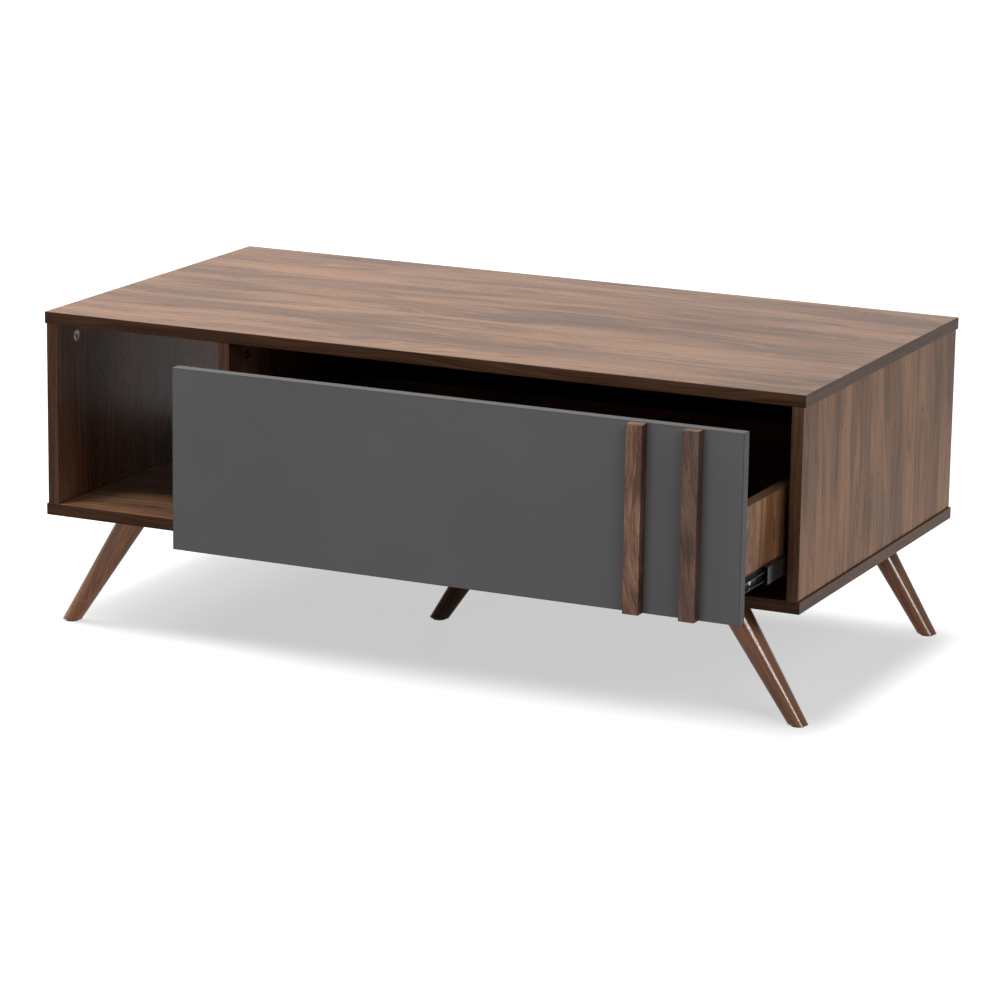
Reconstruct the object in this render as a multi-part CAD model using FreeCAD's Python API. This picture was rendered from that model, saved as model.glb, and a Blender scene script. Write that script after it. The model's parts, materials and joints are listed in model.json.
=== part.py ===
import FreeCAD
import Part
import math
import os

# Low table with one wide drawer, a niche that is open front and back, and five splayed legs.
# Millimetres. +Z is up, +X is to the right seen from the front, and the front faces -Y.
# The origin lies on the floor under the middle of the carcass.
# The drawer stands part way open, as far as DRAWER_OPEN says.

# Carcass boards
TABLE_WIDTH = 1100.0
TABLE_DEPTH = 575.0
BAY_HEIGHT = 250.0
TOP_THICKNESS = 16.0
BOTTOM_THICKNESS = 16.0
SIDE_THICKNESS = 16.0
DIVIDER_THICKNESS = 16.0
BACK_THICKNESS = 16.0
NICHE_WIDTH = 248.5
SIDE_END_INSET = 2.5
UPRIGHT_FRONT_INSET = 0.5
UPRIGHT_BACK_INSET = 2.0
EDGE_BAND = 1.0
EDGE_ROUNDING = 0.7

# Legs, with the foot displaced sideways only
LEG_HEIGHT = 158.0
LEG_SPLAY = 32.8
LEG_TOP_RADIUS = 19.0
LEG_FOOT_RADIUS = 11.4
LEG_END_INSET = 113.0
LEG_EDGE_INSET = 42.5
CENTRE_LEG_OFFSET = 8.0
LEG_BOLT_RADIUS = 4.0
LEG_BOLT_DEPTH = 22.0
LEG_BOLT_OFFSET = 8.0
INSERT_RADIUS = 5.5
INSERT_COVER = 4.0
LEG_PIN_RADIUS = 2.5
LEG_PIN_DEPTH = 8.0
LEG_PIN_OFFSET = 9.0
GLIDE_RADIUS = 9.0
GLIDE_THICKNESS = 2.5
GLIDE_BEVEL = 0.8
GLIDE_NAIL_RADIUS = 1.0
GLIDE_NAIL_LENGTH = 10.0

# Drawer
DRAWER_OPEN = 153.0
FRONT_THICKNESS = 16.0
FRONT_SIDE_GAP = 1.5
FRONT_END_GAP = 4.0
DRAWER_SIDE_THICKNESS = 15.0
DRAWER_SIDE_HEIGHT = 110.0
DRAWER_BACK_THICKNESS = 15.0
DRAWER_FLOOR_GAP = 34.0
DRAWER_REAR_ROOM = 40.5
DRAWER_BOTTOM_THICKNESS = 4.0
DRAWER_BOTTOM_RISE = 15.0
GROOVE_DEPTH = 6.0
GROOVE_PLAY = 0.3

# Pull battens on the drawer front
BATTEN_WIDTH = 22.0
BATTEN_PROJECTION = 15.0
BATTEN_SPACING = 75.0
BATTEN_END_DISTANCE = 53.5
BATTEN_TOP_GAP = 1.0
BATTEN_ROUNDING = 1.0
BATTEN_SCREW_INSET = 70.0
BATTEN_SCREW_BITE = 9.0

# Telescopic runners
RUNNER_GAP = 12.7
RUNNER_HEIGHT = 35.0
RUNNER_STEEL = 1.2
RUNNER_ROUNDING = 0.4
RUNNER_RISE = 11.0
RUNNER_FRONT_ROOM = 3.0
RUNNER_REAR_ROOM = 47.0
RUNNER_SCREW_INSET = 37.0
RUNNER_SCREW_BITE = 10.0
OUTER_REACH = 9.5
OUTER_LIP = 1.7
MIDDLE_REACH = 11.0
INNER_WEB_HEIGHT = 21.0
OUTER_BALL_RADIUS = 2.15
INNER_BALL_RADIUS = 1.7
BALL_PLAY = 0.3
BALL_HOLE_PLAY = 0.1
CAGE_SHEET = 0.8
OUTER_CAGE_PLAY = 0.6
INNER_CAGE_PLAY = 0.35
CAGE_LENGTH = 150.0
BALL_COUNT = 6
CAGE_END_MARGIN = 12.0

# Fasteners
HOLE_CLEARANCE = 0.1
HOLE_END_PLAY = 0.5
FASTENER_INSET = 51.5
DOWEL_STEP = 32.0
DOWEL_RADIUS = 4.0
DOWEL_EDGE_DEPTH = 19.0
DOWEL_COVER = 5.0
DOWEL_BEVEL = 1.0
CAM_RADIUS = 7.5
CAM_SETBACK = 24.0
CAM_FLOOR = 0.8
CAM_CROSS_SPAN = 8.0
CAM_CROSS_WIDTH = 1.8
CAM_CROSS_DEPTH = 2.5
CAM_BOLT_RADIUS = 3.5
CAM_BOLT_THREAD_RADIUS = 2.5
CAM_BOLT_COVER = 5.0
BOARD_SCREW_HEAD_RADIUS = 5.0
BOARD_SCREW_HEAD_HEIGHT = 3.5
BOARD_SCREW_NECK_RADIUS = 3.5
BOARD_SCREW_CORE_RADIUS = 2.5
BOARD_SCREW_BITE = 34.0
BOARD_SCREW_SOCKET = 4.0
BOARD_SCREW_SOCKET_DEPTH = 2.5
SCREW_HEAD_RADIUS = 3.6
SCREW_CORE_RADIUS = 2.0
SCREW_HEAD_HEIGHT = 2.2
SCREW_CROSS_WIDTH = 0.9
SCREW_CROSS_DEPTH = 0.8
DRAWER_CAM_LOW = 35.0
DRAWER_CAM_TOP = 25.0
DRAWER_SCREW_LOW = 35.0
DRAWER_SCREW_TOP = 25.0
DRAWER_SCREW_BITE = 26.0

# Places that follow from the sizes above
ORIGIN = FreeCAD.Vector(0, 0, 0)
RIGHT = FreeCAD.Vector(1, 0, 0)
REARWARD = FreeCAD.Vector(0, 1, 0)
UP = FreeCAD.Vector(0, 0, 1)

end_x = TABLE_WIDTH / 2
edge_y = TABLE_DEPTH / 2
bottom_z = LEG_HEIGHT
bay_z = bottom_z + BOTTOM_THICKNESS
top_z = bay_z + BAY_HEIGHT
upright_front = -edge_y + UPRIGHT_FRONT_INSET
upright_back = edge_y - UPRIGHT_BACK_INSET
left_outer = -end_x + SIDE_END_INSET
left_inner = left_outer + SIDE_THICKNESS
right_outer = end_x - SIDE_END_INSET
right_inner = right_outer - SIDE_THICKNESS
divider_left = left_inner + NICHE_WIDTH
divider_right = divider_left + DIVIDER_THICKNESS
back_inner = upright_back - BACK_THICKNESS

front_left = divider_right + FRONT_SIDE_GAP
front_right = right_inner - FRONT_SIDE_GAP
front_low = bay_z + FRONT_END_GAP
front_high = top_z - FRONT_END_GAP
front_face = upright_front - DRAWER_OPEN
box_front = front_face + FRONT_THICKNESS
box_depth = back_inner - upright_front - FRONT_THICKNESS - DRAWER_REAR_ROOM
box_rear = box_front + box_depth
box_left = divider_right + RUNNER_GAP
box_right = right_inner - RUNNER_GAP
box_low = bay_z + DRAWER_FLOOR_GAP
box_high = box_low + DRAWER_SIDE_HEIGHT
box_inner_left = box_left + DRAWER_SIDE_THICKNESS
box_inner_right = box_right - DRAWER_SIDE_THICKNESS
box_inner_rear = box_rear - DRAWER_BACK_THICKNESS
floor_low = box_low + DRAWER_BOTTOM_RISE
floor_high = floor_low + DRAWER_BOTTOM_THICKNESS
floor_tongue = GROOVE_DEPTH - GROOVE_PLAY

runner_length = box_depth - RUNNER_FRONT_ROOM - RUNNER_REAR_ROOM
runner_front = upright_front + FRONT_THICKNESS + RUNNER_FRONT_ROOM
runner_z = box_low + RUNNER_RISE
outer_half = RUNNER_HEIGHT / 2 - RUNNER_STEEL
middle_half = outer_half - 2 * (OUTER_BALL_RADIUS + BALL_PLAY)
middle_inside = middle_half - RUNNER_STEEL
inner_half = middle_inside - 2 * (INNER_BALL_RADIUS + BALL_PLAY)
outer_cage_start = RUNNER_STEEL + OUTER_CAGE_PLAY
middle_start = outer_cage_start + CAGE_SHEET + OUTER_CAGE_PLAY
inner_cage_start = middle_start + RUNNER_STEEL + INNER_CAGE_PLAY
inner_start = inner_cage_start + CAGE_SHEET + INNER_CAGE_PLAY
inner_web = RUNNER_GAP - RUNNER_STEEL

# How far each stage of a runner has come forward, as a share of the drawer's own way
OUTER_CAGE_SHARE = 0.25
MIDDLE_SHARE = 0.5
INNER_CAGE_SHARE = 0.75


def block(x_range, y_range, z_range):
    """A box between two corners, given as three ranges."""
    spans = [sorted(span) for span in (x_range, y_range, z_range)]
    low = FreeCAD.Vector(*[span[0] for span in spans])
    return Part.makeBox(*[span[1] - span[0] for span in spans], low)


def edges_along(shape, axis):
    """The straight edges that run along the axis of that letter."""
    return [edge for edge in shape.Edges if getattr(edge.BoundBox, axis + "Length") > edge.Length / 2]


def edges_before(shape, y):
    """The edges of a block that lie or reach in front of a plane across Y."""
    return [edge for edge in shape.Edges if edge.BoundBox.YMin < y]


def turned(profile):
    """A solid of revolution about Z from (radius, height) points."""
    outline = [FreeCAD.Vector(radius, 0, height) for radius, height in profile]
    first = FreeCAD.Vector(0, 0, profile[0][1])
    last = FreeCAD.Vector(0, 0, profile[-1][1])
    wire = Part.makePolygon([first] + outline + [last, first])
    return Part.Face(wire).revolve(ORIGIN, UP, 360)


def hole_for(profile):
    """The same turned form with its hole's clearance all round and some play at its far end."""
    wider = [(radius + HOLE_CLEARANCE, height) for radius, height in profile]
    end_radius, end_height = wider[-1]
    return turned(wider[:-1] + [(end_radius, end_height + HOLE_END_PLAY)])


def placed(shape, point, direction):
    """A copy of the shape with its origin at the point and its Z along the direction."""
    copy = shape.copy()
    copy.Placement = FreeCAD.Placement(point, FreeCAD.Rotation(UP, direction))
    return copy


def cross_recess(span, width, depth):
    """Two crossed slots that go down from the XY plane along +Z."""
    half_span = span / 2
    half_width = width / 2
    along = block((-half_span, half_span), (-half_width, half_width), (0, depth))
    across = block((-half_width, half_width), (-half_span, half_span), (0, depth))
    return along.fuse(across)


def hex_recess(across_flats, depth):
    """A hexagon socket that goes down from the XY plane along +Z."""
    corner = across_flats / math.sqrt(3)
    turns = [math.radians(60 * step) for step in range(7)]
    corners = [FreeCAD.Vector(corner * math.cos(a), corner * math.sin(a), 0) for a in turns]
    return Part.Face(Part.makePolygon(corners)).extrude(UP * depth)


class Board:
    """A board or metal section with the holes that its fasteners need."""

    def __init__(self, shape, thickness):
        self.shape = shape
        self.thickness = thickness
        self.holes = []

    def finished(self):
        if not self.holes:
            return self.shape
        return self.shape.cut(self.holes)


def add_dowel(board, panel, point, into_panel, dowels):
    """A wooden dowel from the edge of a board into the face of a panel."""
    length = DOWEL_EDGE_DEPTH + panel.thickness - DOWEL_COVER
    start = point - into_panel * DOWEL_EDGE_DEPTH
    small = DOWEL_RADIUS - DOWEL_BEVEL
    form = [
        (small, 0),
        (DOWEL_RADIUS, DOWEL_BEVEL),
        (DOWEL_RADIUS, length - DOWEL_BEVEL),
        (small, length),
    ]
    bore = DOWEL_RADIUS + HOLE_CLEARANCE
    drill = turned([(bore, -HOLE_END_PLAY), (bore, length + HOLE_END_PLAY)])
    dowels.append(placed(turned(form), start, into_panel))
    board.holes.append(placed(drill, start, into_panel))
    panel.holes.append(placed(drill, start, into_panel))


def add_cam(board, panel, point, into_panel, cam_side, cams, bolts):
    """A cam lock in the face of a board that draws in a bolt set in a panel."""
    depth = board.thickness / 2 + CAM_BOLT_RADIUS + HOLE_CLEARANCE + CAM_FLOOR
    centre = point - into_panel * CAM_SETBACK
    face_point = centre + cam_side * (board.thickness / 2)
    inward = cam_side * -1
    cross = cross_recess(CAM_CROSS_SPAN, CAM_CROSS_WIDTH, CAM_CROSS_DEPTH)
    slot_radius = CAM_BOLT_RADIUS + HOLE_CLEARANCE
    slot = turned([(slot_radius, -HOLE_END_PLAY), (slot_radius, CAM_SETBACK)])
    cam = placed(turned([(CAM_RADIUS, 0), (CAM_RADIUS, depth)]).cut(cross), face_point, inward)
    pocket_radius = CAM_RADIUS + HOLE_CLEARANCE
    pocket = turned([(pocket_radius, 0), (pocket_radius, depth)])
    thread_end = CAM_SETBACK + panel.thickness - CAM_BOLT_COVER
    bolt = [
        (CAM_BOLT_RADIUS, 0),
        (CAM_BOLT_RADIUS, CAM_SETBACK),
        (CAM_BOLT_THREAD_RADIUS, CAM_SETBACK),
        (CAM_BOLT_THREAD_RADIUS, thread_end),
    ]
    bolt_hole = placed(hole_for(bolt), centre, into_panel)
    cams.append(cam.cut(placed(slot, centre, into_panel)))
    bolts.append(placed(turned(bolt), centre, into_panel))
    board.holes.append(placed(pocket, face_point, inward))
    board.holes.append(bolt_hole)
    panel.holes.append(bolt_hole)


def add_board_screw(board, panel, point, into_board, screws):
    """A socket screw through a panel into the edge of a board, its head let in flush."""
    start = point - into_board * panel.thickness
    form = [
        (BOARD_SCREW_HEAD_RADIUS, 0),
        (BOARD_SCREW_HEAD_RADIUS, BOARD_SCREW_HEAD_HEIGHT),
        (BOARD_SCREW_NECK_RADIUS, BOARD_SCREW_HEAD_HEIGHT),
        (BOARD_SCREW_NECK_RADIUS, panel.thickness),
        (BOARD_SCREW_CORE_RADIUS, panel.thickness),
        (BOARD_SCREW_CORE_RADIUS, panel.thickness + BOARD_SCREW_BITE),
    ]
    socket = hex_recess(BOARD_SCREW_SOCKET, BOARD_SCREW_SOCKET_DEPTH)
    hole = placed(hole_for(form), start, into_board)
    screws.append(placed(turned(form).cut(socket), start, into_board))
    panel.holes.append(hole)
    board.holes.append(hole)


def add_countersunk(pieces, head_point, direction, head_height, length, screws):
    """A countersunk screw, flush at its head, through the pieces it holds."""
    form = [
        (SCREW_HEAD_RADIUS, 0),
        (SCREW_CORE_RADIUS, head_height),
        (SCREW_CORE_RADIUS, length),
    ]
    cross = cross_recess(SCREW_HEAD_RADIUS, SCREW_CROSS_WIDTH, SCREW_CROSS_DEPTH)
    hole = placed(hole_for(form), head_point, direction)
    screws.append(placed(turned(form).cut(cross), head_point, direction))
    for piece in pieces:
        piece.holes.append(hole)


def banded_panel(x_range, y_range, z_range):
    """A horizontal panel's core and the four strips of edge band round it."""
    x0, x1 = x_range
    y0, y1 = y_range
    inner_x = (x0 + EDGE_BAND, x1 - EDGE_BAND)
    inner_y = (y0 + EDGE_BAND, y1 - EDGE_BAND)
    core = block(inner_x, inner_y, z_range)
    whole = block(x_range, y_range, z_range)
    whole = whole.makeFillet(EDGE_ROUNDING, whole.Edges)
    strips = [
        block(x_range, (y0, inner_y[0]), z_range),
        block(x_range, (inner_y[1], y1), z_range),
        block((x0, inner_x[0]), inner_y, z_range),
        block((inner_x[1], x1), inner_y, z_range),
    ]
    return core, [whole.common(strip) for strip in strips]


def banded_upright(x_range):
    """An upright board's core and the strips of edge band on its front and back edges."""
    z_range = (bay_z, top_z)
    core_y = (upright_front + EDGE_BAND, upright_back - EDGE_BAND)
    core = block(x_range, core_y, z_range)
    whole = block(x_range, (upright_front, upright_back), z_range)
    whole = whole.makeFillet(EDGE_ROUNDING, edges_along(whole, "Z"))
    strips = [
        block(x_range, (upright_front, core_y[0]), z_range),
        block(x_range, (core_y[1], upright_back), z_range),
    ]
    return core, [whole.common(strip) for strip in strips]


def leg_places():
    """The name, top centre and sideways lean of each leg."""
    x = end_x - LEG_END_INSET
    y = edge_y - LEG_EDGE_INSET
    return [
        ("leg_front_left", -x, -y, -1),
        ("leg_front_right", x, -y, 1),
        ("leg_back_left", -x, y, -1),
        ("leg_back_right", x, y, 1),
        ("leg_centre", CENTRE_LEG_OFFSET, 0, -1),
    ]


def leg_solid(top_x, top_y, lean):
    """A tapered round leg, cut level at the board above it and at its glide."""
    slope = math.tan(math.radians(LEG_SPLAY))
    axis_length = LEG_HEIGHT / math.cos(math.radians(LEG_SPLAY))
    spare = LEG_TOP_RADIUS * slope * 2
    taper = (LEG_TOP_RADIUS - LEG_FOOT_RADIUS) / axis_length
    upward = FreeCAD.Vector(-lean * slope, 0, 1).normalize()
    top = FreeCAD.Vector(top_x, top_y, LEG_HEIGHT)
    start = top - upward * (axis_length + spare)
    low_radius = LEG_FOOT_RADIUS - taper * spare
    high_radius = LEG_TOP_RADIUS + taper * spare
    cone = Part.makeCone(low_radius, high_radius, axis_length + 2 * spare, start, upward)
    reach = TABLE_WIDTH + TABLE_DEPTH + LEG_HEIGHT
    slab = block((-reach, reach), (-reach, reach), (GLIDE_THICKNESS, LEG_HEIGHT))
    return cone.common(slab)


def foot_x(top_x, lean):
    """Where the middle of a leg's foot stands above its glide."""
    drop = LEG_HEIGHT - GLIDE_THICKNESS
    return top_x + lean * drop * math.tan(math.radians(LEG_SPLAY))


def runner_piece(wall_x, inward, depth_range, height_range, y_range):
    """A bar of a runner: its depth is measured from the wall, its height from the runner's middle."""
    x_range = [wall_x + inward * depth for depth in depth_range]
    z_range = [runner_z + height for height in height_range]
    return block(x_range, y_range, z_range)


def runner_section(wall_x, inward, y_range, bars):
    """Bars of one folded section, each also mirrored about the runner's middle."""
    solid = None
    for depth_range, height_range in bars:
        for flip in (1, -1):
            heights = [flip * height for height in height_range]
            bar = runner_piece(wall_x, inward, depth_range, heights, y_range)
            solid = bar if solid is None else solid.fuse(bar)
    return solid.removeSplitter()


def rolled(section):
    """A steel section with its folds and lips rounded."""
    return section.makeFillet(RUNNER_ROUNDING, edges_along(section, "Y"))


def outer_section(wall_x, inward):
    """The member fixed to the carcass."""
    y_range = (runner_front, runner_front + runner_length)
    lip_start = OUTER_REACH - RUNNER_STEEL
    bars = [
        ((0, RUNNER_STEEL), (0, RUNNER_HEIGHT / 2)),
        ((0, OUTER_REACH), (outer_half, RUNNER_HEIGHT / 2)),
        ((lip_start, OUTER_REACH), (outer_half - OUTER_LIP, outer_half)),
    ]
    return rolled(runner_section(wall_x, inward, y_range, bars))


def middle_section(wall_x, inward):
    """The member that runs in the outer one, half as far as the drawer."""
    start = runner_front - DRAWER_OPEN * MIDDLE_SHARE
    bars = [
        ((middle_start, middle_start + RUNNER_STEEL), (0, middle_half)),
        ((middle_start, MIDDLE_REACH), (middle_inside, middle_half)),
    ]
    return rolled(runner_section(wall_x, inward, (start, start + runner_length), bars))


def inner_section(wall_x, inward):
    """The member fixed to the drawer."""
    start = runner_front - DRAWER_OPEN
    bars = [
        ((inner_web, RUNNER_GAP), (0, INNER_WEB_HEIGHT / 2)),
        ((inner_start, RUNNER_GAP), (inner_half - RUNNER_STEEL, inner_half)),
    ]
    return rolled(runner_section(wall_x, inward, (start, start + runner_length), bars))


def ball_cage(wall_x, inward, share, start, reach, ball_depth, ball_height, radius):
    """A ball cage with two rows of balls, centred on the runner when the drawer is shut."""
    middle_y = runner_front + runner_length / 2 - DRAWER_OPEN * share
    y_range = (middle_y - CAGE_LENGTH / 2, middle_y + CAGE_LENGTH / 2)
    arm = (ball_height - CAGE_SHEET / 2, ball_height + CAGE_SHEET / 2)
    bars = [
        ((start, start + CAGE_SHEET), (0, arm[1])),
        ((start, reach), arm),
    ]
    cage = runner_section(wall_x, inward, y_range, bars)
    pitch = (CAGE_LENGTH - 2 * CAGE_END_MARGIN) / (BALL_COUNT - 1)
    balls = []
    holes = []
    for flip in (1, -1):
        for index in range(BALL_COUNT):
            y = y_range[0] + CAGE_END_MARGIN + index * pitch
            x = wall_x + inward * ball_depth
            centre = FreeCAD.Vector(x, y, runner_z + flip * ball_height)
            below = centre - UP * CAGE_SHEET
            balls.append(Part.makeSphere(radius, centre))
            holes.append(Part.makeCylinder(radius + BALL_HOLE_PLAY, 2 * CAGE_SHEET, below))
    return cage.cut(holes), balls


nodes = {}

# Carcass boards
whole_x = (-end_x, end_x)
whole_y = (-edge_y, edge_y)
top_core, top_bands = banded_panel(whole_x, whole_y, (top_z, top_z + TOP_THICKNESS))
bottom_core, bottom_bands = banded_panel(whole_x, whole_y, (bottom_z, bay_z))
left_core, left_bands = banded_upright((left_outer, left_inner))
right_core, right_bands = banded_upright((right_inner, right_outer))
divider_core, divider_bands = banded_upright((divider_left, divider_right))
back_core = block((divider_right, right_inner), (back_inner, upright_back), (bay_z, top_z))
top = Board(top_core, TOP_THICKNESS)
bottom = Board(bottom_core, BOTTOM_THICKNESS)
left_side = Board(left_core, SIDE_THICKNESS)
right_side = Board(right_core, SIDE_THICKNESS)
divider = Board(divider_core, DIVIDER_THICKNESS)
back = Board(back_core, BACK_THICKNESS)

# Cams and dowels hold the uprights to the top, and screws and dowels hold them to the bottom
cams = []
cam_bolts = []
dowels = []
board_screws = []
upright_length = upright_back - upright_front
left_line = FreeCAD.Vector((left_outer + left_inner) / 2, upright_front, 0)
right_line = FreeCAD.Vector((right_outer + right_inner) / 2, upright_front, 0)
divider_line = FreeCAD.Vector((divider_left + divider_right) / 2, upright_front, 0)
back_line = FreeCAD.Vector(divider_right, (back_inner + upright_back) / 2, 0)
joint_lines = [
    (left_side, left_line, REARWARD, upright_length, RIGHT),
    (right_side, right_line, REARWARD, upright_length, RIGHT * -1),
    (divider, divider_line, REARWARD, upright_length, RIGHT),
    (back, back_line, RIGHT, right_inner - divider_right, REARWARD * -1),
]
for board, line_start, run, length, cam_side in joint_lines:
    for place in (FASTENER_INSET, length - FASTENER_INSET):
        point = line_start + run * place
        add_cam(board, top, point + UP * top_z, UP, cam_side, cams, cam_bolts)
        add_board_screw(board, bottom, point + UP * bay_z, UP, board_screws)
    for place in (FASTENER_INSET + DOWEL_STEP, length - FASTENER_INSET - DOWEL_STEP):
        point = line_start + run * place
        add_dowel(board, top, point + UP * top_z, UP, dowels)
        add_dowel(board, bottom, point + UP * bay_z, UP * -1, dowels)

# Legs, each with a bolt in a threaded insert, a pin against turning and a nailed glide
leg_bolts = []
inserts = []
leg_pins = []
glides = []
insert_depth = BOTTOM_THICKNESS - INSERT_COVER
bolt_form = [
    (LEG_BOLT_RADIUS, -LEG_BOLT_DEPTH),
    (LEG_BOLT_RADIUS, insert_depth - HOLE_END_PLAY),
]
pin_form = [(LEG_PIN_RADIUS, -LEG_PIN_DEPTH), (LEG_PIN_RADIUS, LEG_PIN_DEPTH)]
nail_top = GLIDE_THICKNESS + GLIDE_NAIL_LENGTH
glide_form = [
    (GLIDE_RADIUS, 0),
    (GLIDE_RADIUS, GLIDE_THICKNESS - GLIDE_BEVEL),
    (GLIDE_RADIUS - GLIDE_BEVEL, GLIDE_THICKNESS),
    (GLIDE_NAIL_RADIUS, GLIDE_THICKNESS),
    (GLIDE_NAIL_RADIUS, nail_top),
]
bore_radius = LEG_BOLT_RADIUS + HOLE_CLEARANCE
pin_bore_radius = LEG_PIN_RADIUS + HOLE_CLEARANCE
nail_bore_radius = GLIDE_NAIL_RADIUS + HOLE_CLEARANCE
insert_bore_radius = INSERT_RADIUS + HOLE_CLEARANCE
pin_bore_end = LEG_PIN_DEPTH + HOLE_END_PLAY
bolt_bore = turned([(bore_radius, -LEG_BOLT_DEPTH - HOLE_END_PLAY), (bore_radius, insert_depth)])
pin_bore = turned([(pin_bore_radius, -pin_bore_end), (pin_bore_radius, pin_bore_end)])
nail_bore = turned([(nail_bore_radius, 0), (nail_bore_radius, nail_top + HOLE_END_PLAY)])
insert_bore = turned([(insert_bore_radius, 0), (insert_bore_radius, insert_depth)])
insert_form = turned([(INSERT_RADIUS, 0), (INSERT_RADIUS, insert_depth)]).cut(bolt_bore)
for name, top_x, top_y, lean in leg_places():
    bolt_point = FreeCAD.Vector(top_x + lean * LEG_BOLT_OFFSET, top_y, bottom_z)
    pin_point = FreeCAD.Vector(top_x - lean * LEG_PIN_OFFSET, top_y, bottom_z)
    foot_point = FreeCAD.Vector(foot_x(top_x, lean), top_y, 0)
    leg_holes = [
        placed(bolt_bore, bolt_point, UP),
        placed(pin_bore, pin_point, UP),
        placed(nail_bore, foot_point, UP),
    ]
    bottom.holes.append(placed(insert_bore, bolt_point, UP))
    bottom.holes.append(placed(pin_bore, pin_point, UP))
    leg_bolts.append(placed(turned(bolt_form), bolt_point, UP))
    inserts.append(placed(insert_form, bolt_point, UP))
    leg_pins.append(placed(turned(pin_form), pin_point, UP))
    glides.append(placed(turned(glide_form), foot_point, UP))
    nodes[name] = leg_solid(top_x, top_y, lean).cut(leg_holes)

# Drawer boards, with the bottom held in grooves all round
front_x = (front_left + EDGE_BAND, front_right - EDGE_BAND)
front_z = (front_low + EDGE_BAND, front_high - EDGE_BAND)
front_y = (front_face, box_front)
whole_front = block((front_left, front_right), front_y, (front_low, front_high))
whole_front = whole_front.makeFillet(EDGE_ROUNDING, whole_front.Edges)
front_strips = [
    block((front_left, front_right), front_y, (front_low, front_z[0])),
    block((front_left, front_right), front_y, (front_z[1], front_high)),
    block((front_left, front_x[0]), front_y, front_z),
    block((front_x[1], front_right), front_y, front_z),
]
front_bands = [whole_front.common(strip) for strip in front_strips]
box_y = (box_front, box_rear)
box_z = (box_low, box_high)
back_y = (box_inner_rear, box_rear)
drawer_front = Board(block(front_x, front_y, front_z), FRONT_THICKNESS)
drawer_left = Board(block((box_left, box_inner_left), box_y, box_z), DRAWER_SIDE_THICKNESS)
drawer_right = Board(block((box_inner_right, box_right), box_y, box_z), DRAWER_SIDE_THICKNESS)
drawer_back_solid = block((box_inner_left, box_inner_right), back_y, box_z)
drawer_back = Board(drawer_back_solid, DRAWER_BACK_THICKNESS)
floor_x = (box_inner_left - floor_tongue, box_inner_right + floor_tongue)
floor_y = (box_front - floor_tongue, box_inner_rear + floor_tongue)
groove_x = (box_inner_left - GROOVE_DEPTH, box_inner_right + GROOVE_DEPTH)
groove_y = (box_front - GROOVE_DEPTH, box_inner_rear + GROOVE_DEPTH)
groove = block(groove_x, groove_y, (floor_low, floor_high + GROOVE_PLAY))
for board in (drawer_front, drawer_left, drawer_right, drawer_back):
    board.holes.append(groove)

# The front is drawn to the drawer sides by cams, and the back is screwed between them
drawer_cams = []
drawer_cam_bolts = []
drawer_dowels = []
drawer_screws = []
cam_heights = (box_low + DRAWER_CAM_LOW, box_high - DRAWER_CAM_TOP)
screw_heights = (box_low + DRAWER_SCREW_LOW, box_high - DRAWER_SCREW_TOP)
forward = REARWARD * -1
drawer_sides = [
    (drawer_left, box_left, box_inner_left, RIGHT),
    (drawer_right, box_right, box_inner_right, RIGHT * -1),
]
for board, outer_x, inner_x, inward in drawer_sides:
    middle_x = (outer_x + inner_x) / 2
    for height in cam_heights:
        point = FreeCAD.Vector(middle_x, box_front, height)
        add_cam(board, drawer_front, point, forward, inward, drawer_cams, drawer_cam_bolts)
    dowel_point = FreeCAD.Vector(middle_x, box_front, sum(cam_heights) / 2)
    add_dowel(board, drawer_front, dowel_point, forward, drawer_dowels)
    for height in screw_heights:
        point = FreeCAD.Vector(outer_x, (box_inner_rear + box_rear) / 2, height)
        length = DRAWER_SIDE_THICKNESS + DRAWER_SCREW_BITE
        pieces = [board, drawer_back]
        add_countersunk(pieces, point, inward, SCREW_HEAD_HEIGHT, length, drawer_screws)

# Pull battens, screwed on from inside the drawer
batten_screws = []
batten_low = front_low
batten_high = front_high - BATTEN_TOP_GAP
batten_y = (front_face - BATTEN_PROJECTION, front_face)
right_batten_x = front_right - BATTEN_END_DISTANCE - BATTEN_WIDTH / 2
batten_middles = {
    "pull_batten_left": right_batten_x - BATTEN_SPACING,
    "pull_batten_right": right_batten_x,
}
for name, middle_x in batten_middles.items():
    batten_x = (middle_x - BATTEN_WIDTH / 2, middle_x + BATTEN_WIDTH / 2)
    bar = block(batten_x, batten_y, (batten_low, batten_high))
    bar = bar.makeFillet(BATTEN_ROUNDING, edges_before(bar, front_face - BATTEN_ROUNDING))
    batten = Board(bar, BATTEN_PROJECTION)
    for height in (batten_low + BATTEN_SCREW_INSET, batten_high - BATTEN_SCREW_INSET):
        point = FreeCAD.Vector(middle_x, box_front, height)
        length = FRONT_THICKNESS + BATTEN_SCREW_BITE
        pieces = [drawer_front, batten]
        add_countersunk(pieces, point, forward, SCREW_HEAD_HEIGHT, length, batten_screws)
    nodes[name] = batten.finished()

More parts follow.
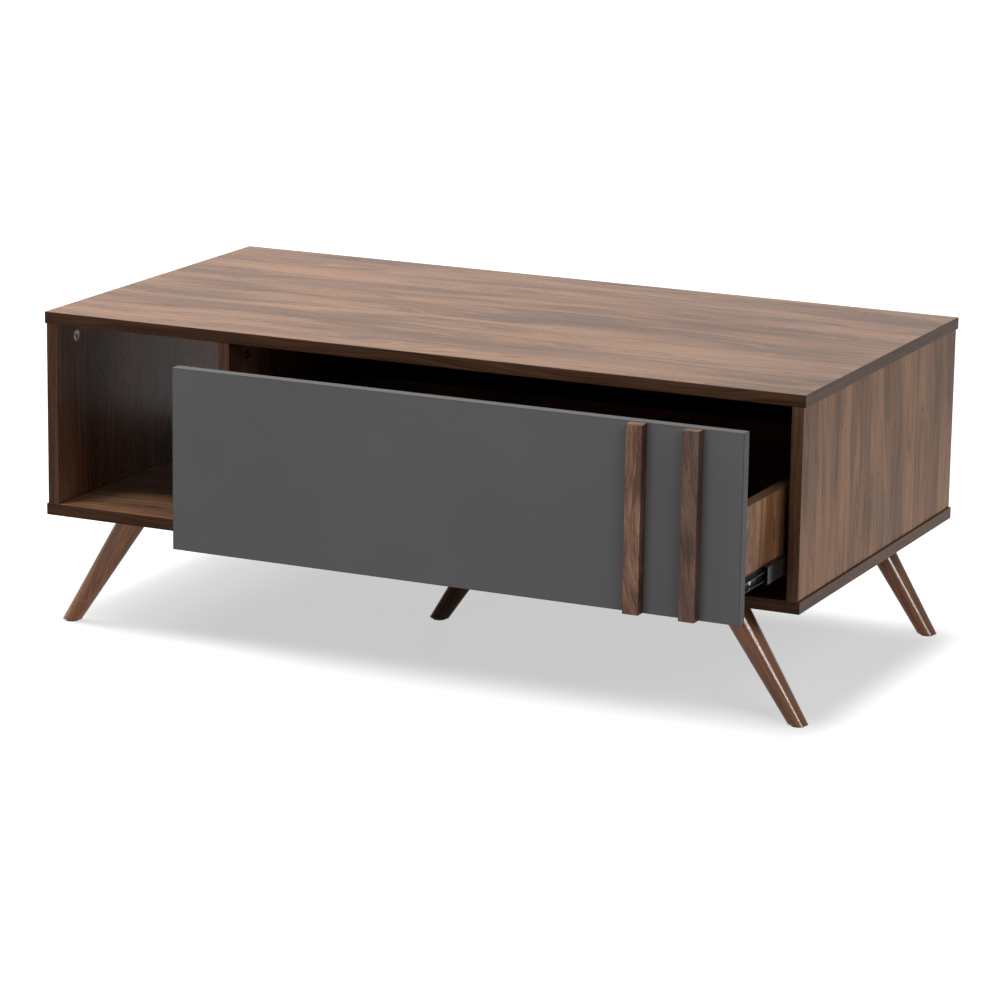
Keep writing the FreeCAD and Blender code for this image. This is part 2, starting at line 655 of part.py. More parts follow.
# Runners: a wall, the direction from it into the bay, and the boards that each member is fixed to
outer_ball_depth = OUTER_REACH - RUNNER_STEEL - BALL_PLAY - OUTER_BALL_RADIUS
outer_ball_height = (outer_half + middle_half) / 2
inner_ball_depth = (inner_start + MIDDLE_REACH) / 2
inner_ball_height = (middle_inside + inner_half) / 2
outer_screws = []
inner_screws = []
screw_places = (RUNNER_SCREW_INSET, runner_length / 2, runner_length - RUNNER_SCREW_INSET)
runners = [
    ("left", divider_right, 1, divider, drawer_left),
    ("right", right_inner, -1, right_side, drawer_right),
]
for name, wall_x, inward, wall_board, drawer_board in runners:
    outer = Board(outer_section(wall_x, inward), RUNNER_STEEL)
    inner = Board(inner_section(wall_x, inward), RUNNER_STEEL)
    outer_head_x = wall_x + inward * RUNNER_STEEL
    inner_head_x = wall_x + inward * inner_web
    length = RUNNER_STEEL + RUNNER_SCREW_BITE
    for place in screw_places:
        y = runner_front + place
        head = FreeCAD.Vector(outer_head_x, y, runner_z)
        pieces = [outer, wall_board]
        add_countersunk(pieces, head, RIGHT * -inward, RUNNER_STEEL, length, outer_screws)
        head = FreeCAD.Vector(inner_head_x, y - DRAWER_OPEN, runner_z)
        pieces = [inner, drawer_board]
        add_countersunk(pieces, head, RIGHT * inward, RUNNER_STEEL, length, inner_screws)
    outer_cage, outer_balls = ball_cage(
        wall_x, inward, OUTER_CAGE_SHARE, outer_cage_start, OUTER_REACH - CAGE_SHEET,
        outer_ball_depth, outer_ball_height, OUTER_BALL_RADIUS,
    )
    inner_cage, inner_balls = ball_cage(
        wall_x, inward, INNER_CAGE_SHARE, inner_cage_start, MIDDLE_REACH,
        inner_ball_depth, inner_ball_height, INNER_BALL_RADIUS,
    )
    nodes["runner_outer_" + name] = outer.finished()
    nodes["runner_middle_" + name] = middle_section(wall_x, inward)
    nodes["runner_inner_" + name] = inner.finished()
    nodes["outer_ball_cage_" + name] = outer_cage
    nodes["outer_balls_" + name] = Part.makeCompound(outer_balls)
    nodes["inner_ball_cage_" + name] = inner_cage
    nodes["inner_balls_" + name] = Part.makeCompound(inner_balls)

# Single boards, then the sets of like pieces
nodes["top_panel"] = top.finished()
nodes["bottom_panel"] = bottom.finished()
nodes["left_side_panel"] = left_side.finished()
nodes["right_side_panel"] = right_side.finished()
nodes["divider_panel"] = divider.finished()
nodes["bay_back_panel"] = back.finished()
nodes["drawer_front"] = drawer_front.finished()
nodes["drawer_left_side"] = drawer_left.finished()
nodes["drawer_right_side"] = drawer_right.finished()
nodes["drawer_back"] = drawer_back.finished()
nodes["drawer_bottom"] = block(floor_x, floor_y, (floor_low, floor_high))
groups = {
    "top_edge_bands": top_bands,
    "bottom_edge_bands": bottom_bands,
    "left_side_edge_bands": left_bands,
    "right_side_edge_bands": right_bands,
    "divider_edge_bands": divider_bands,
    "drawer_front_edge_bands": front_bands,
    "cam_locks": cams,
    "cam_bolts": cam_bolts,
    "panel_dowels": dowels,
    "bottom_screws": board_screws,
    "leg_bolts": leg_bolts,
    "leg_insert_nuts": inserts,
    "leg_pins": leg_pins,
    "foot_glides": glides,
    "drawer_cam_locks": drawer_cams,
    "drawer_cam_bolts": drawer_cam_bolts,
    "drawer_dowels": drawer_dowels,
    "drawer_back_screws": drawer_screws,
    "batten_screws": batten_screws,
    "runner_outer_screws": outer_screws,
    "runner_inner_screws": inner_screws,
}
for name, pieces in groups.items():
    nodes[name] = Part.makeCompound(pieces)

os.makedirs("parts", exist_ok=True)
for name, shape in nodes.items():
    shape.exportStep("parts/" + name + ".step")
    print(name, len(shape.Solids), "solids, valid" if shape.isValid() else "solids, not valid")
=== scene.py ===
import json

import bpy
from mathutils import Matrix, Vector


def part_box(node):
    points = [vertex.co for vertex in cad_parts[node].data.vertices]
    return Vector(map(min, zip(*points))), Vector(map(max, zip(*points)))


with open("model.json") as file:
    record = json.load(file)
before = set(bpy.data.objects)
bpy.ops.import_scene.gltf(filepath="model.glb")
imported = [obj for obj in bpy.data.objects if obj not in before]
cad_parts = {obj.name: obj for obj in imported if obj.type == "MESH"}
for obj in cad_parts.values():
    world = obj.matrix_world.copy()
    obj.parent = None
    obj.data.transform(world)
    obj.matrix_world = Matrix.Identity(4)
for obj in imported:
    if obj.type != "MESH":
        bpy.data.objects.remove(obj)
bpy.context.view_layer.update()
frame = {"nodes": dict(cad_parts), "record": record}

WHITE = (1.0, 1.0, 1.0, 1.0)

# Camera: place and target in metres, roll in radians, lens and sensor in millimetres
CAMERA_PLACE = Vector((2.3210, -4.9608, 1.5162))
CAMERA_TARGET = Vector((0.0024, -0.0087, 0.1830))
CAMERA_ROLL = 0.01476
CAMERA_LENS = 148.02
SENSOR_WIDTH = 36.0

# Lamps: name, place, aim, width and height in metres, watts
LAMPS = [
    ("overhead_softbox", (-0.75, -0.25, 2.70), (-0.75, -0.24, 0.0), 2.4, 2.2, 62.0),
    ("right_softbox", (3.20, 0.15, 0.24), (0.0, 0.0, 0.30), 2.4, 0.4, 33.0),
    ("right_front_softbox", (2.40, -2.10, 2.10), (0.2, -0.2, 0.25), 1.6, 1.3, 26.0),
    ("left_softbox", (-2.70, -0.20, 2.40), (-0.3, 0.0, 0.30), 1.8, 1.2, 34.0),
    ("front_fill", (-0.70, -3.60, 0.45), (0.0, 0.0, 0.30), 2.0, 0.8, 20.0),
    ("back_fill", (-1.20, 3.60, 0.50), (0.0, 0.0, 0.30), 2.0, 0.8, 28.0),
    ("leg_strip", (2.80, -2.38, 1.19), (0.3, 0.0, 0.20), 1.5, 0.5, 68.0),
    ("niche_strip", (-1.05, -0.98, 2.20), (-0.40, -0.28, 0.18), 0.5, 0.3, 27.0),
]
# A lamp that isn't mirrored in the table, and one that is only mirrored
UNMIRRORED_LAMP = "back_fill"
MIRRORED_LAMP = "leg_strip"
# Strength of the even light from all round
AMBIENT = 0.015

# Floor: half its width in metres, its colour as seen, and the weaker one that it throws back at
# the table
FLOOR_HALF_WIDTH = 30.0
FLOOR_SEEN = (0.45, 0.45, 0.45, 1.0)
FLOOR_BOUNCE = (0.08, 0.08, 0.08, 1.0)
# The floor's own white, in the table's shade and beyond it, then half the size of that shade and
# how far its edge fades, in metres along each axis
FLOOR_GLOW_SHADE = 0.55
FLOOR_GLOW_FAR = 1.0
SHADE_HALF = (0.53, 0.19, 1.0)
SHADE_FADE = (0.09, 0.17, 1.0)

# Range that a noise keeps to for the most part
NOISE_RANGE = (0.3, 0.7)

# Wood grain: waves per metre along it, across it and through it, from slow drift to pores
DRIFT = (1.3, 4.0, 4.0)
ARCHES = (3.2, 24.0, 24.0)
FIGURE = (2.2, 15.0, 15.0)
STREAKS = (4.0, 110.0, 110.0)
LINES = (7.0, 420.0, 420.0)
PORES = (55.0, 1500.0, 1500.0)
# How far the drift carries the lines to each side, in metres, and the noise at its two ends
DRIFT_REACH = 0.022
WANDER_RANGE = (0.2, 0.8)
# The noise of the darkest and the lightest tone, and of a pore's rim and middle
TONE_RANGE = (0.39, 0.61)
PORE_RANGE = (0.60, 0.70)
# Depth of a pore as a share of the relief
PORE_DEPTH = 0.6

# Grain of each wood: shares of the figure, the streaks and the lines in its tone, shade of its
# pores, and in metres how far its lines are folded over and how deep its relief is
LAMINATE_GRAIN = ((0.46, 0.30, 0.24), (0.72, 0.68, 0.66), 0.016, 0.00002)
BAND_GRAIN = ((0.30, 0.40, 0.30), (0.72, 0.68, 0.66), 0.006, 0.00002)
BATTEN_GRAIN = ((0.30, 0.40, 0.30), (0.62, 0.56, 0.52), 0.005, 0.00002)
LEG_GRAIN = ((0.20, 0.40, 0.40), (0.76, 0.72, 0.70), 0.004, 0.000001)
BEECH_GRAIN = ((0.20, 0.40, 0.40), (0.76, 0.70, 0.66), 0.016, 0.00002)

# The battens' grain is this many times shorter along each axis, and the right batten's lies this
# many metres off, so that the two differ
BATTEN_SQUEEZE = (3.0, 1.0, 1.0)
RIGHT_BATTEN_SHIFT = 0.37

# Lean of the legs, in radians, and which way each one leans
LEG_SPLAY = 0.5725
LEGS_LEANING_LEFT = ["leg_front_left", "leg_back_left"]
LEGS_LEANING_RIGHT = ["leg_front_right", "leg_back_right"]

# Lamps that light some pieces alone, and lamps that leave some out
LAMP_LINKS = {
    "leg_strip": ("INCLUDE", LEGS_LEANING_RIGHT),
    "niche_strip": ("INCLUDE", ["bottom_panel"]),
    "right_softbox": ("EXCLUDE", LEGS_LEANING_RIGHT),
    "right_front_softbox": ("EXCLUDE", ["left_side_panel", "bottom_panel"]),
}

# Wood tones from dark to light: place on the scale, colour
WALNUT_TONES = [
    (0.00, (0.122, 0.060, 0.034)),
    (0.35, (0.192, 0.097, 0.053)),
    (0.62, (0.260, 0.134, 0.073)),
    (1.00, (0.362, 0.193, 0.107)),
]
# Darker copy of the walnut for the drawer's back and bottom: painted shade for the dark inside of
# the drawer
INNER_SHADE_TONES = [
    (0.00, (0.060, 0.030, 0.017)),
    (0.50, (0.110, 0.056, 0.031)),
    (1.00, (0.170, 0.090, 0.050)),
]
DRAWER_TONES = [
    (0.00, (0.130, 0.060, 0.028)),
    (0.35, (0.270, 0.132, 0.064)),
    (0.65, (0.400, 0.202, 0.102)),
    (1.00, (0.520, 0.275, 0.146)),
]
LEVEL_BAND_TONES = [
    (0.00, (0.050, 0.022, 0.010)),
    (0.50, (0.088, 0.041, 0.020)),
    (1.00, (0.128, 0.062, 0.033)),
]
UPRIGHT_BAND_TONES = [
    (0.00, (0.092, 0.044, 0.024)),
    (0.50, (0.150, 0.075, 0.043)),
    (1.00, (0.208, 0.108, 0.065)),
]
LEFT_BATTEN_TONES = [
    (0.00, (0.190, 0.096, 0.064)),
    (0.50, (0.375, 0.208, 0.142)),
    (1.00, (0.550, 0.325, 0.225)),
]
RIGHT_BATTEN_TONES = [
    (0.00, (0.130, 0.079, 0.061)),
    (0.50, (0.215, 0.130, 0.097)),
    (1.00, (0.300, 0.186, 0.142)),
]
LEG_TONES = [
    (0.00, (0.316, 0.122, 0.052)),
    (0.50, (0.440, 0.176, 0.076)),
    (1.00, (0.564, 0.235, 0.105)),
]
SUPPORT_LEG_TONES = [(0.0, (0.035, 0.018, 0.010)), (1.0, (0.075, 0.038, 0.022))]
BEECH_TONES = [(0.0, (0.50, 0.34, 0.20)), (1.0, (0.66, 0.50, 0.33))]

# Grey laminate of the drawer front and its edges: darkest and lightest colour
GREY_BOARD = ((0.162, 0.157, 0.155), (0.189, 0.186, 0.190))
GREY_BAND = ((0.096, 0.094, 0.092), (0.112, 0.110, 0.112))

# Metals: darkest and lightest colour, patches per metre, least and most roughness, marks per metre
METALS = {
    "cast_zinc": ((0.08, 0.08, 0.08), (0.62, 0.61, 0.60), 230, 0.24, 0.34, 300),
    "plated_steel": ((0.56, 0.57, 0.58), (0.68, 0.69, 0.70), 60, 0.24, 0.36, 400),
    "ball_steel": ((0.70, 0.70, 0.71), (0.78, 0.78, 0.79), 60, 0.08, 0.14, 500),
}

# Black coat of the runners: darkest and lightest colour
BLACK_COAT = ((0.010, 0.010, 0.011), (0.018, 0.018, 0.019))

# Plastics: darkest and lightest colour
PLASTICS = {
    "cage_plastic": ((0.018, 0.018, 0.019), (0.030, 0.030, 0.031)),
    "glide_plastic": ((0.030, 0.024, 0.020), (0.050, 0.042, 0.036)),
}

# Faces that differ from their piece, all but the batten ends by painted shade: how far the tint
# reaches from the face, in metres, its colour, and how it is laid over the piece's own
# Painted shade on the battens' side faces
BATTEN_SIDE_SHADE = (0.0008, (0.34, 0.32, 0.32), "MULTIPLY")
BATTEN_END = (0.0008, (0.72, 0.70, 0.68), "MULTIPLY")
# Painted shade on the side faces of the drawer front's grey edge band
GREY_BAND_SIDE_SHADE = (0.0012, (0.58, 0.58, 0.58), "MULTIPLY")
# Painted shade along the foot of the upright panels, where they meet the bottom panel
PANEL_FOOT_SHADE = (0.0026, (0.30, 0.27, 0.25), "MULTIPLY")
# Painted shade on the faces inside the drawer bay: the divider's right face and the bay back's front
# face
BAY_SHADE = (0.0010, (0.35, 0.33, 0.32), "MULTIPLY")
# Painted shade: the top edge of the drawer sides is covered with a dark brown
DRAWER_RIM_SHADE = (0.0012, (0.078, 0.043, 0.026), "MIX")
# Share of the reach where the tint is full
TINT_CORE = 0.3

# Waves per metre of the patches and the grit, and of the coat's marks, which are drawn along Y
GREY_PATCHES = 5.0
GREY_GRIT = 1400.0
PLASTIC_PATCHES = 40.0
PLASTIC_GRIT = 2200.0
COAT_MARKS = (900.0, 8.0, 900.0)
# Shares of the patches and the grit in the grey tone
GREY_SHARES = (0.6, 0.4)

# Relief of the finishes other than wood, in metres
GREY_RELIEF = 0.00002
METAL_RELIEF = 0.00001
COAT_RELIEF = 0.000005
PLASTIC_RELIEF = 0.00002

# Least and most roughness of each finish, and the beech's only one
LAMINATE_ROUGHNESS = (0.26, 0.32)
BAND_ROUGHNESS = (0.30, 0.38)
GREY_ROUGHNESS = (0.50, 0.60)
BATTEN_ROUGHNESS = (0.42, 0.56)
LEG_ROUGHNESS = (0.14, 0.18)
COAT_ROUGHNESS = (0.14, 0.20)
PLASTIC_ROUGHNESS = (0.42, 0.56)
BEECH_ROUGHNESS = 0.65

# Gloss of each finish, as a specular level
LAMINATE_GLOSS = 0.06
RIGHT_SIDE_GLOSS = 0.035
NICHE_GLOSS = 0.11
BAND_GLOSS = 0.05
GREY_GLOSS = 0.2
BATTEN_GLOSS = 0.1
LEG_GLOSS = 0.25
SUPPORT_LEG_GLOSS = 0.03
COAT_GLOSS = 0.08


class Tree:
    """Short calls that add nodes to a node tree."""

    def __init__(self, tree):
        self.tree = tree

    def put(self, socket, value):
        """Links a socket to another one, or sets its constant."""
        if isinstance(value, bpy.types.NodeSocket):
            self.tree.links.new(value, socket)
        else:
            socket.default_value = value

    def node(self, kind, inputs, **settings):
        """A new shader node of that kind with its settings and inputs."""
        made = self.tree.nodes.new("ShaderNode" + kind)
        for name, value in settings.items():
            setattr(made, name, value)
        for name, value in inputs.items():
            self.put(made.inputs[name], value)
        return made

    def math(self, operation, first, second):
        """The result of an operation on two numbers."""
        return self.node("Math", {0: first, 1: second}, operation=operation).outputs[0]

    def vector(self, operation, first, second=(0.0, 0.0, 0.0)):
        """The result of an operation on one or two vectors."""
        return self.node("VectorMath", {0: first, 1: second}, operation=operation).outputs[0]

    def span(self, value, low, high, to_low=0.0, to_high=1.0):
        """The value with its range from low to high carried smoothly to another range."""
        inputs = {"Value": value, 1: low, 2: high, 3: to_low, 4: to_high}
        return self.node("MapRange", inputs, interpolation_type="SMOOTHSTEP").outputs[0]

    def weigh(self, layers, shares):
        """The sum of the layers, each times its share."""
        total = self.math("MULTIPLY", layers[0], shares[0])
        for layer, share in zip(layers[1:], shares[1:]):
            total = self.math("ADD", total, self.math("MULTIPLY", layer, share))
        return total

    def backdrop_rays(self):
        """1 for the rays that show the white backdrop, 0 for those that carry its light."""
        path = self.node("LightPath", {}).outputs
        seen = self.math("MAXIMUM", path["Is Camera Ray"], path["Is Glossy Ray"])
        return self.math("MAXIMUM", seen, path["Is Transmission Ray"])


class Finish(Tree):
    """A material under construction: a principled surface and the nodes that feed it."""

    def __init__(self, name):
        self.material = bpy.data.materials.new(name)
        self.material.use_nodes = True
        super().__init__(self.material.node_tree)
        self.surface = self.tree.nodes["Principled BSDF"]
        self.colour = None

    def set(self, **values):
        """Feeds the surface's sockets, named as in the interface with _ for each space."""
        for name, value in values.items():
            self.put(self.surface.inputs[name.replace("_", " ")], value)

    def axes(self, order):
        """The piece's own coordinates in metres, with its axes in the order given."""
        place = self.node("TexCoord", {}).outputs["Object"]
        return self.reorder(place, order)

    def reorder(self, vector, order):
        """The vector with its axes in the order given."""
        split = self.node("SeparateXYZ", {0: vector}).outputs
        inputs = {index: split[axis.upper()] for index, axis in enumerate(order)}
        return self.node("CombineXYZ", inputs).outputs[0]

    def stretch(self, vector, scale, shift=(0.0, 0.0, 0.0)):
        """The vector times a scale along each axis, plus a shift."""
        inputs = {"Vector": vector, "Location": shift, "Scale": scale}
        return self.node("Mapping", inputs).outputs[0]

    def noise(self, vector, detail=2.0, roughness=0.5, distortion=0.0):
        """Noise of one wave per unit of the vector."""
        inputs = {
            "Vector": vector,
            "Scale": 1.0,
            "Detail": detail,
            "Roughness": roughness,
            "Distortion": distortion,
        }
        return self.node("TexNoise", inputs).outputs[0]

    def even_noise(self, waves, **look):
        """Noise of so many waves per metre along each of the piece's axes."""
        return self.noise(self.stretch(self.axes("xyz"), (waves, waves, waves)), **look)

    def tones(self, factor, stops):
        """A colour ramp from (place, colour) stops."""
        made = self.node("ValToRGB", {0: factor})
        points = made.color_ramp.elements
        while len(points) < len(stops):
            points.new(1.0)
        for point, (place, colour) in zip(points, stops):
            point.position = place
            point.color = (*colour, 1.0)
        return made.outputs[0]

    def mix(self, factor, low, high, blend="MIX"):
        """Two colours mixed by a factor."""
        inputs = {0: factor, 6: low, 7: high}
        return self.node("Mix", inputs, data_type="RGBA", blend_type=blend).outputs[2]

    def paint(self, colour):
        """Makes a colour the surface's own."""
        self.colour = colour
        self.set(Base_Color=colour)

    def mottle(self, noise, dark, light):
        """Paints the surface from dark to light as the noise goes."""
        self.paint(self.tones(noise, list(zip(NOISE_RANGE, (dark, light)))))

    def darken(self, mask, shade):
        """Multiplies the painted colour by a shade where the mask is 1."""
        self.paint(self.mix(mask, self.colour, (*shade, 1.0), "MULTIPLY"))

    def tint(self, faces):
        """Tints each face that lies across an axis at a place, up to the reach from it."""
        for axis, place, (reach, colour, blend) in faces:
            along = self.node("SeparateXYZ", {0: self.axes("xyz")}).outputs[axis]
            away = self.math("ABSOLUTE", self.math("SUBTRACT", along, place), 0.0)
            mask = self.span(away, TINT_CORE * reach, reach, 1.0, 0.0)
            self.paint(self.mix(mask, self.colour, (*colour, 1.0), blend))

    def roughen(self, noise, least, most):
        """Makes the surface rougher as the noise grows."""
        self.set(Roughness=self.span(noise, *NOISE_RANGE, least, most))

    def bump(self, height, depth):
        """Relief of that depth in metres."""
        made = self.node("Bump", {"Strength": 1.0, "Distance": depth, "Height": height})
        self.put(self.surface.inputs["Normal"], made.outputs[0])


def wander(finish, grain, waves, reach):
    """Grain coordinates whose lines are carried sideways, by up to the reach in metres."""
    drift = finish.noise(finish.stretch(grain, waves))
    offset = finish.span(drift, *WANDER_RANGE, -reach, reach)
    shift = finish.node("CombineXYZ", {1: offset}).outputs[0]
    return finish.vector("ADD", grain, shift)


def wood(finish, grain, stops, kind):
    """Wood whose grain runs along X of the grain coordinates: colour and relief.

    The kind is one of the grains above. Returns the streaks."""
    shares, pore_shade, arch, relief = kind
    grain = wander(finish, grain, DRIFT, DRIFT_REACH)
    grain = wander(finish, grain, ARCHES, arch)
    figure = finish.noise(finish.stretch(grain, FIGURE), detail=3.0)
    streaks = finish.noise(finish.stretch(grain, STREAKS), detail=4.0, roughness=0.6)
    lines = finish.noise(finish.stretch(grain, LINES))
    pores = finish.noise(finish.stretch(grain, PORES), detail=1.0)
    tone = finish.weigh((figure, streaks, lines), shares)
    finish.paint(finish.tones(finish.span(tone, *TONE_RANGE), stops))
    pore_mask = finish.span(pores, *PORE_RANGE)
    finish.darken(pore_mask, pore_shade)
    hollow = finish.math("MULTIPLY", pore_mask, PORE_DEPTH)
    finish.bump(finish.math("SUBTRACT", lines, hollow), relief)
    return streaks


def laminate(name, order, stops, gloss=LAMINATE_GLOSS, faces=()):
    """Printed walnut laminate, satin, with the grain along the first axis of the order."""
    finish = Finish(name)
    streaks = wood(finish, finish.axes(order), stops, LAMINATE_GRAIN)
    finish.tint(faces)
    finish.roughen(streaks, *LAMINATE_ROUGHNESS)
    finish.set(Specular_IOR_Level=gloss)
    return finish.material


def edge_band(name, stops, go_round):
    """Printed edge band, a darker brown than the boards, upright or round a level panel."""
    finish = Finish(name)
    place = finish.axes("zxy")
    if go_round:
        split = finish.node("SeparateXYZ", {0: finish.axes("xyz")}).outputs
        along = finish.math("ADD", split["X"], split["Y"])
        place = finish.node("CombineXYZ", {0: along, 1: split["Z"]}).outputs[0]
    streaks = wood(finish, place, stops, BAND_GRAIN)
    finish.roughen(streaks, *BAND_ROUGHNESS)
    finish.set(Specular_IOR_Level=BAND_GLOSS)
    return finish.material


def grey_laminate(name, dark, light, faces=()):
    """Matt dark grey laminate with a faint pebbled relief."""
    finish = Finish(name)
    patches = finish.even_noise(GREY_PATCHES, detail=3.0)
    grit = finish.even_noise(GREY_GRIT)
    finish.mottle(finish.weigh((patches, grit), GREY_SHARES), dark, light)
    finish.tint(faces)
    finish.roughen(grit, *GREY_ROUGHNESS)
    finish.set(Specular_IOR_Level=GREY_GLOSS)
    finish.bump(grit, GREY_RELIEF)
    return finish.material


def solid_walnut(name, stops, shift, piece):
    """Oiled solid walnut with upright, wavy grain, painted shade on its sides and darker end grain.
    """
    finish = Finish(name)
    grain = finish.stretch(finish.axes("zxy"), BATTEN_SQUEEZE, (shift, shift, 0.0))
    streaks = wood(finish, grain, stops, BATTEN_GRAIN)
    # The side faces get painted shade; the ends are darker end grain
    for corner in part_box(piece):
        finish.tint([("X", corner[0], BATTEN_SIDE_SHADE), ("Z", corner[2], BATTEN_END)])
    finish.roughen(streaks, *BATTEN_ROUGHNESS)
    finish.set(Specular_IOR_Level=BATTEN_GLOSS)
    return finish.material


def stained_leg(name, stops, lean, gloss):
    """Semi-gloss stain on turned hardwood, with the grain along the leg."""
    finish = Finish(name)
    inputs = {"Vector": finish.axes("xyz"), "Angle": lean}
    turned = finish.node("VectorRotate", inputs, rotation_type="Y_AXIS").outputs[0]
    streaks = wood(finish, finish.reorder(turned, "zxy"), stops, LEG_GRAIN)
    finish.roughen(streaks, *LEG_ROUGHNESS)
    finish.set(Specular_IOR_Level=gloss)
    return finish.material


def pale_dowel(name):
    """Bare beech with short flecks."""
    finish = Finish(name)
    wood(finish, finish.axes("zxy"), BEECH_TONES, BEECH_GRAIN)
    finish.set(Roughness=BEECH_ROUGHNESS)
    return finish.material


def metal(name, dark, light, patches, least, most, scratches):
    """Bare or plated metal with patches of shade and fine marks."""
    finish = Finish(name)
    marks = finish.even_noise(scratches, detail=3.0, roughness=0.6)
    finish.mottle(finish.even_noise(patches), dark, light)
    finish.set(Metallic=1.0)
    finish.roughen(marks, least, most)
    finish.bump(marks, METAL_RELIEF)
    return finish.material


def coated_steel(name, dark, light):
    """Smooth black coat on rolled steel, with faint marks drawn out along the member."""
    finish = Finish(name)
    drawn = finish.stretch(finish.axes("xyz"), COAT_MARKS)
    marks = finish.noise(drawn, detail=3.0, roughness=0.6)
    finish.mottle(marks, dark, light)
    finish.roughen(marks, *COAT_ROUGHNESS)
    finish.set(Specular_IOR_Level=COAT_GLOSS)
    finish.bump(marks, COAT_RELIEF)
    return finish.material


def moulded_plastic(name, dark, light):
    """Dark moulded plastic with a fine spark-eroded relief."""
    finish = Finish(name)
    grit = finish.even_noise(PLASTIC_GRIT)
    finish.mottle(finish.even_noise(PLASTIC_PATCHES), dark, light)
    finish.roughen(grit, *PLASTIC_ROUGHNESS)
    finish.bump(grit, PLASTIC_RELIEF)
    return finish.material


def dress(material, node_names):
    """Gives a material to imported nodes."""
    for name in node_names:
        for place in frame["nodes"][name].material_slots:
            place.material = material


def nodes_of(slot):
    """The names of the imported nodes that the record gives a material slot."""
    return [part["node"] for part in frame["record"]["subparts"] if part["material_slot"] == slot]


def dress_carcass():
    """Boards and edge bands of the carcass."""
    level_boards = ["top_panel", "bottom_panel"]
    level_bands = ["top_edge_bands", "bottom_edge_bands"]
    upright_bands = ["left_side_edge_bands", "right_side_edge_bands", "divider_edge_bands"]
    # Painted shade along the foot of the upright panels
    panel_foot_shade = [("Z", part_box("right_side_panel")[0][2], PANEL_FOOT_SHADE)]
    # Painted shade on the divider's face and the back panel's face inside the drawer bay
    bay_side_shade = [("X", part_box("divider_panel")[1][0], BAY_SHADE)]
    bay_back = [("Y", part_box("bay_back_panel")[0][1], BAY_SHADE)]
    dress(laminate("walnut_board_level", "xyz", WALNUT_TONES), level_boards)
    for piece, gloss, faces in (
        ("right_side_panel", RIGHT_SIDE_GLOSS, panel_foot_shade),
        ("left_side_panel", NICHE_GLOSS, panel_foot_shade),
        ("divider_panel", NICHE_GLOSS, panel_foot_shade + bay_side_shade),
    ):
        dress(laminate("walnut_" + piece, "zyx", WALNUT_TONES, gloss, faces), [piece])
    dress(laminate("walnut_bay_back", "xyz", WALNUT_TONES, faces=bay_back), ["bay_back_panel"])
    dress(edge_band("walnut_band_level", LEVEL_BAND_TONES, go_round=True), level_bands)
    dress(edge_band("walnut_band_upright", UPRIGHT_BAND_TONES, go_round=False), upright_bands)


def dress_drawer():
    """Box, front and pull battens of the drawer."""
    drawer_sides = ["drawer_left_side", "drawer_right_side"]
    # Painted shade on the top edge of the drawer sides
    drawer_rim_shade = [("Z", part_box("drawer_right_side")[1][2], DRAWER_RIM_SHADE)]
    # Painted shade on the side faces of the grey edge band
    grey_band_side_shade = [("X", corner[0], GREY_BAND_SIDE_SHADE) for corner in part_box("drawer_front_edge_bands")]
    dress(laminate("drawer_board_sides", "zyx", DRAWER_TONES, faces=drawer_rim_shade), drawer_sides)
    # The drawer's back and bottom take the darker walnut, as painted shade
    dress(laminate("drawer_back_shaded", "xyz", INNER_SHADE_TONES), ["drawer_back"])
    dress(laminate("drawer_floor_shaded", "yxz", INNER_SHADE_TONES), ["drawer_bottom"])
    dress(grey_laminate("grey_front_board", *GREY_BOARD), nodes_of("grey_front"))
    dress(grey_laminate("grey_front_band", *GREY_BAND, grey_band_side_shade), nodes_of("grey_edge_band"))
    for piece, stops, shift in (
        ("pull_batten_left", LEFT_BATTEN_TONES, 0.0),
        ("pull_batten_right", RIGHT_BATTEN_TONES, RIGHT_BATTEN_SHIFT),
    ):
        dress(solid_walnut(piece + "_wood", stops, shift, piece), [piece])


def dress_legs():
    """The four corner legs and the dark one in the middle."""
    dress(stained_leg("leg_wood_left", LEG_TONES, -LEG_SPLAY, LEG_GLOSS), LEGS_LEANING_LEFT)
    dress(stained_leg("leg_wood_right", LEG_TONES, LEG_SPLAY, LEG_GLOSS), LEGS_LEANING_RIGHT)
    dark_wood = stained_leg("leg_wood_dark", SUPPORT_LEG_TONES, -LEG_SPLAY, SUPPORT_LEG_GLOSS)
    dress(dark_wood, ["leg_centre"])


def dress_fittings():
    """Dowels, metal fittings, runners and plastic pieces."""
    dress(pale_dowel("dowel_wood_bare"), nodes_of("dowel_wood"))
    for slot, look in METALS.items():
        dress(metal(slot + "_finish", *look), nodes_of(slot))
    dress(coated_steel("runner_steel_finish", *BLACK_COAT), nodes_of("runner_steel"))
    for slot, look in PLASTICS.items():
        dress(moulded_plastic(slot + "_finish", *look), nodes_of(slot))


def add_floor():
    """A pale floor that takes the table's shadow and turns to plain white further off."""
    half = FLOOR_HALF_WIDTH
    mesh = bpy.data.meshes.new("floor")
    corners = [(-half, -half, 0.0), (half, -half, 0.0), (half, half, 0.0), (-half, half, 0.0)]
    mesh.from_pydata(corners, [], [(0, 1, 2, 3)])
    floor = bpy.data.objects.new("floor", mesh)
    bpy.context.scene.collection.objects.link(floor)
    finish = Finish("floor_pale")
    place = finish.axes("xyz")
    beyond = finish.vector("SUBTRACT", finish.vector("ABSOLUTE", place), SHADE_HALF)
    share = finish.vector("DIVIDE", finish.vector("MAXIMUM", beyond), SHADE_FADE)
    away = finish.node("VectorMath", {0: share}, operation="LENGTH").outputs["Value"]
    glow = finish.span(away, 0.0, 1.0, FLOOR_GLOW_SHADE, FLOOR_GLOW_FAR)
    strength = finish.math("MULTIPLY", glow, finish.backdrop_rays())
    finish.paint(finish.mix(finish.backdrop_rays(), FLOOR_BOUNCE, FLOOR_SEEN))
    finish.set(Roughness=1.0, Specular_IOR_Level=0.0)
    finish.set(Emission_Color=WHITE, Emission_Strength=strength)
    mesh.materials.append(finish.material)


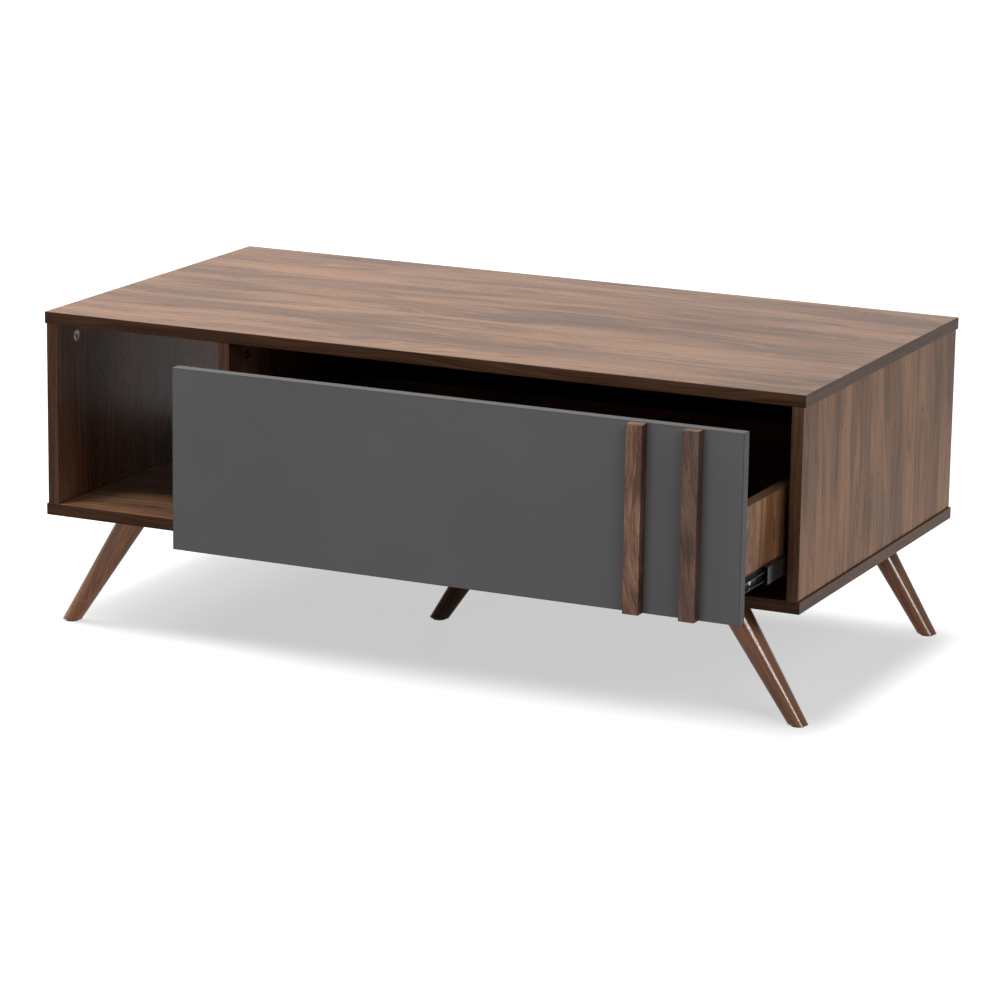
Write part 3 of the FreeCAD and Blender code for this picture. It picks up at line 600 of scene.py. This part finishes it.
def add_world():
    """A white backdrop to look at, and a weaker even light from all round."""
    world = bpy.data.worlds.new("studio")
    world.use_nodes = True
    bpy.context.scene.world = world
    tree = Tree(world.node_tree)
    background = world.node_tree.nodes["Background"]
    background.inputs["Color"].default_value = WHITE
    strength = tree.span(tree.backdrop_rays(), 0.0, 1.0, AMBIENT, 1.0)
    tree.put(background.inputs["Strength"], strength)


def link_lamp(lamp, state, node_names):
    """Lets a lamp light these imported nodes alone, or all but these."""
    linked = bpy.data.collections.new(lamp.name + "_nodes")
    for name in node_names:
        linked.objects.link(frame["nodes"][name])
    for entry in linked.collection_objects:
        entry.light_linking.link_state = state
    lamp.light_linking.receiver_collection = linked


def add_lamps():
    """The area lamps, each turned to its aim and hidden from the camera."""
    for name, place, aim, width, height, watts in LAMPS:
        data = bpy.data.lights.new(name, "AREA")
        data.shape = "RECTANGLE"
        data.size = width
        data.size_y = height
        data.energy = watts
        lamp = bpy.data.objects.new(name, data)
        bpy.context.scene.collection.objects.link(lamp)
        lamp.location = place
        towards = Vector(aim) - Vector(place)
        lamp.rotation_euler = towards.to_track_quat("-Z", "Y").to_euler()
        lamp.visible_camera = False
        lamp.visible_glossy = name != UNMIRRORED_LAMP
        lamp.visible_diffuse = name != MIRRORED_LAMP
        if name in LAMP_LINKS:
            link_lamp(lamp, *LAMP_LINKS[name])


def add_camera():
    """The photograph's camera, turned to its target and then rolled."""
    data = bpy.data.cameras.new("camera")
    data.lens = CAMERA_LENS
    data.sensor_width = SENSOR_WIDTH
    camera = bpy.data.objects.new("camera", data)
    bpy.context.scene.collection.objects.link(camera)
    level = (CAMERA_TARGET - CAMERA_PLACE).to_track_quat("-Z", "Y").to_matrix()
    turn = level @ Matrix.Rotation(CAMERA_ROLL, 3, "Z")
    camera.matrix_world = Matrix.Translation(CAMERA_PLACE) @ turn.to_4x4()
    bpy.context.scene.camera = camera


dress_carcass()
dress_drawer()
dress_legs()
dress_fittings()
add_floor()
add_world()
add_lamps()
add_camera()
bpy.context.scene.view_settings.view_transform = "Standard"
